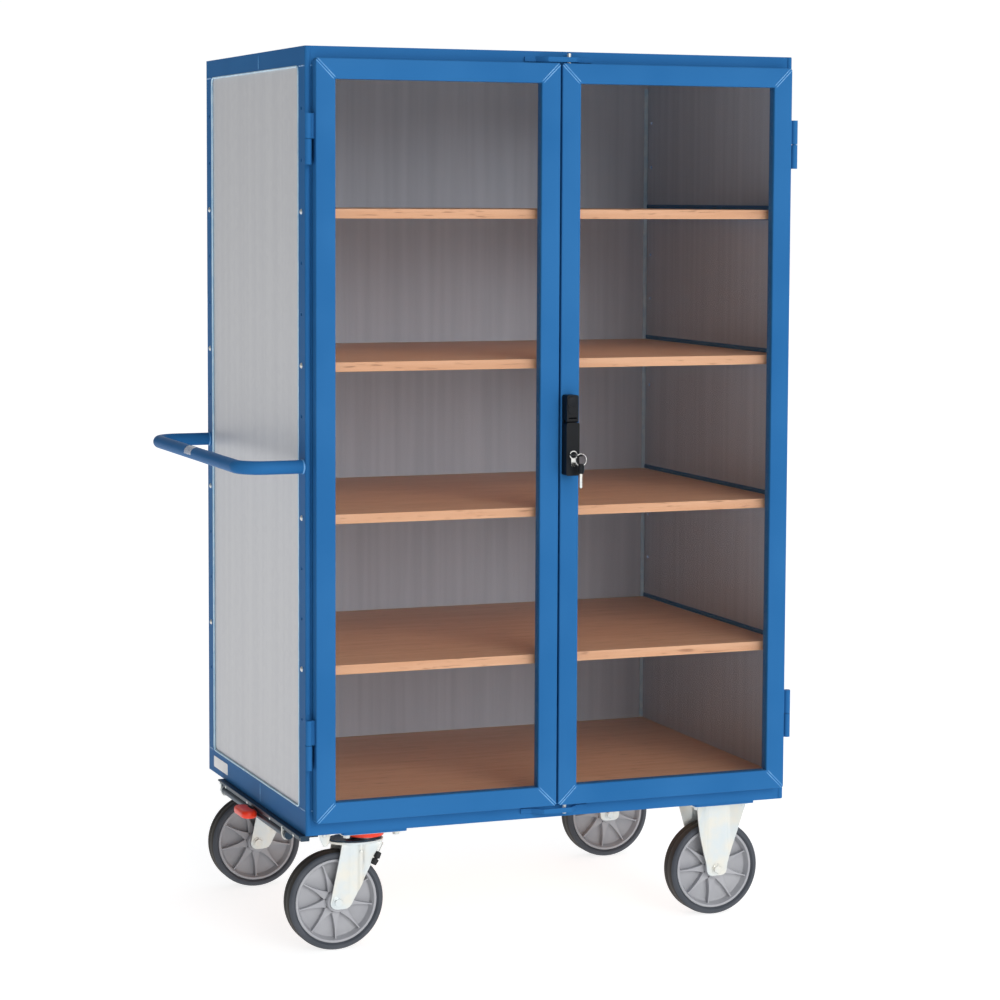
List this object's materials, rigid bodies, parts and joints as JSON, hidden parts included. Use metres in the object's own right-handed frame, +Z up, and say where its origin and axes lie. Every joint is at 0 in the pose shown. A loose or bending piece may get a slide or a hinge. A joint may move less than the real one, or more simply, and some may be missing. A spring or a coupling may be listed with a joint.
{
  "type": "cabinet trolley",
  "caption": "Steel-framed cupboard on castors with glazed hinged doors, wooden shelves, a push handle at one end, a swing-handle rod lock and a central foot brake.",
  "frame": {"origin": "on the floor under the middle of the overall box, push handle included", "axes": "+Z up, the doors face -Y, the push handle and the swivel castors are at the -X end"},
  "size_m": [1.1924, 0.8008, 1.8],
  "materials": {
    "blue_paint": "semi-gloss powder coat",
    "galvanised": "hot-dip galvanised sheet",
    "beech_board": "beech decor on chipboard, satin",
    "zinc_plate": "bright zinc plating",
    "dark_zinc": "dark zinc plating",
    "red_plastic": "glossy",
    "clear_acrylic": "clear polished sheet",
    "rubber_seal": "matt",
    "black_plastic": "fine-grained",
    "chrome": "polished",
    "hub_plastic": "moulded, fine-grained",
    "tyre_rubber": "smooth solid rubber"
  },
  "bodies": {
    "frame": {"bottom_frame": "blue_paint", "top_frame": "blue_paint", "post_front_left": "blue_paint", "post_front_right": "blue_paint", "post_rear_left": "blue_paint", "post_rear_right": "blue_paint", "panel_left": "galvanised", "panel_right": "galvanised", "panel_back": "galvanised", "roof_sheet": "galvanised", "deck_board": "beech_board", "shelf_1": "beech_board", "shelf_2": "beech_board", "shelf_3": "beech_board", "shelf_4": "beech_board", "shelf_rails_1": "blue_paint", "shelf_rails_2": "blue_paint", "shelf_rails_3": "blue_paint", "shelf_rails_4": "blue_paint", "shelf_screws": "zinc_plate", "push_handle": "blue_paint", "keeper_top": "blue_paint", "keeper_bottom": "blue_paint", "hinges_frame": "blue_paint", "castor_mounts": "blue_paint", "castor_bolts": "zinc_plate", "brake_cover": "dark_zinc", "brake_brackets": "zinc_plate", "swivel_plates": "zinc_plate", "brake_rings": "red_plastic", "fixed_brackets": "zinc_plate", "fixed_axles": "zinc_plate"},
    "brake": {"brake_shaft": "dark_zinc", "brake_pedal": "red_plastic"},
    "castor_front": {"fork_front": "zinc_plate"},
    "castor_rear": {"fork_rear": "zinc_plate"},
    "wheel_front_left": {"hub_front_left": "hub_plastic", "tyre_front_left": "tyre_rubber"},
    "wheel_rear_left": {"hub_rear_left": "hub_plastic", "tyre_rear_left": "tyre_rubber"},
    "wheel_front_right": {"hub_front_right": "hub_plastic", "tyre_front_right": "tyre_rubber"},
    "wheel_rear_right": {"hub_rear_right": "hub_plastic", "tyre_rear_right": "tyre_rubber"},
    "door_left": {"door_frame_left": "blue_paint", "door_pane_left": "clear_acrylic", "door_glazing_left": "rubber_seal", "hinges_door_left": "blue_paint"},
    "door_right": {"door_frame_right": "blue_paint", "door_pane_right": "clear_acrylic", "door_glazing_right": "rubber_seal", "hinges_door_right": "blue_paint", "lock_base": "black_plastic"},
    "lock_hub": {"lock_hub": "black_plastic"},
    "lock_lever": {"lock_lever": "black_plastic", "lock_cylinder": "chrome"},
    "key": {"key": "black_plastic"},
    "key_ring": {"key_ring": "black_plastic"},
    "rod_upper": {"rod_upper": "zinc_plate"},
    "rod_lower": {"rod_lower": "zinc_plate"}
  },
  "joints": [
    {"name": "door_left_hinge", "type": "hinge", "parent": "frame", "child": "door_left", "pos_m": [-0.45875, -0.3336, 1.0275], "axis": [0, 0, -1], "range_deg": [0, 180]},
    {"name": "door_right_hinge", "type": "hinge", "parent": "frame", "child": "door_right", "pos_m": [0.58925, -0.3336, 1.0275], "axis": [0, 0, 1], "range_deg": [0, 210]},
    {"name": "lock_turn", "type": "hinge", "parent": "door_right", "child": "lock_hub", "pos_m": [0.08225, -0.3559, 1.088], "axis": [0, -1, 0], "range_deg": [0, 90]},
    {"name": "lever_tilt", "type": "hinge", "parent": "lock_hub", "child": "lock_lever", "pos_m": [0.08225, -0.3689, 1.0655], "axis": [-1, 0, 0], "range_deg": [0, 25]},
    {"name": "key_turn", "type": "hinge", "parent": "lock_lever", "child": "key", "pos_m": [0.08375, -0.3734, 0.996], "axis": [0, -1, 0], "range_deg": [0, 90]},
    {"name": "key_ring_swing", "type": "hinge", "parent": "key", "child": "key_ring", "pos_m": [0.08375, -0.3934, 0.996], "axis": [-1, 0, 0], "range_deg": [-14, 30]},
    {"name": "rod_upper_slide", "type": "slide", "parent": "door_right", "child": "rod_upper", "axis": [0, 0, -1], "range_m": [0, 0.02]},
    {"name": "rod_lower_slide", "type": "slide", "parent": "door_right", "child": "rod_lower", "axis": [0, 0, 1], "range_m": [0, 0.02]},
    {"name": "castor_front_swivel", "type": "hinge", "parent": "frame", "child": "castor_front", "pos_m": [-0.31275, -0.2426, 0.221], "axis": [0, 0, 1], "continuous": true},
    {"name": "castor_rear_swivel", "type": "hinge", "parent": "frame", "child": "castor_rear", "pos_m": [-0.31275, 0.3254, 0.221], "axis": [0, 0, 1], "continuous": true},
    {"name": "wheel_front_left_spin", "type": "hinge", "parent": "castor_front", "child": "wheel_front_left", "pos_m": [-0.37875, -0.2426, 0.1], "axis": [0, 1, 0], "continuous": true},
    {"name": "wheel_rear_left_spin", "type": "hinge", "parent": "castor_rear", "child": "wheel_rear_left", "pos_m": [-0.37875, 0.3254, 0.1], "axis": [0, 1, 0], "continuous": true},
    {"name": "wheel_front_right_spin", "type": "hinge", "parent": "frame", "child": "wheel_front_right", "pos_m": [0.45925, -0.2426, 0.1], "axis": [0, 1, 0], "continuous": true},
    {"name": "wheel_rear_right_spin", "type": "hinge", "parent": "frame", "child": "wheel_rear_right", "pos_m": [0.45925, 0.3254, 0.1], "axis": [0, 1, 0], "continuous": true},
    {"name": "brake_press", "type": "hinge", "parent": "frame", "child": "brake", "pos_m": [-0.45975, 0.0414, 0.228], "axis": [0, -1, 0], "range_deg": [0, 20]}
  ],
  "couplings": [
    {"joint": "rod_upper_slide", "follows": "lock_turn", "m_per_rad": 0.01273},
    {"joint": "rod_lower_slide", "follows": "lock_turn", "m_per_rad": 0.01273}
  ]
}
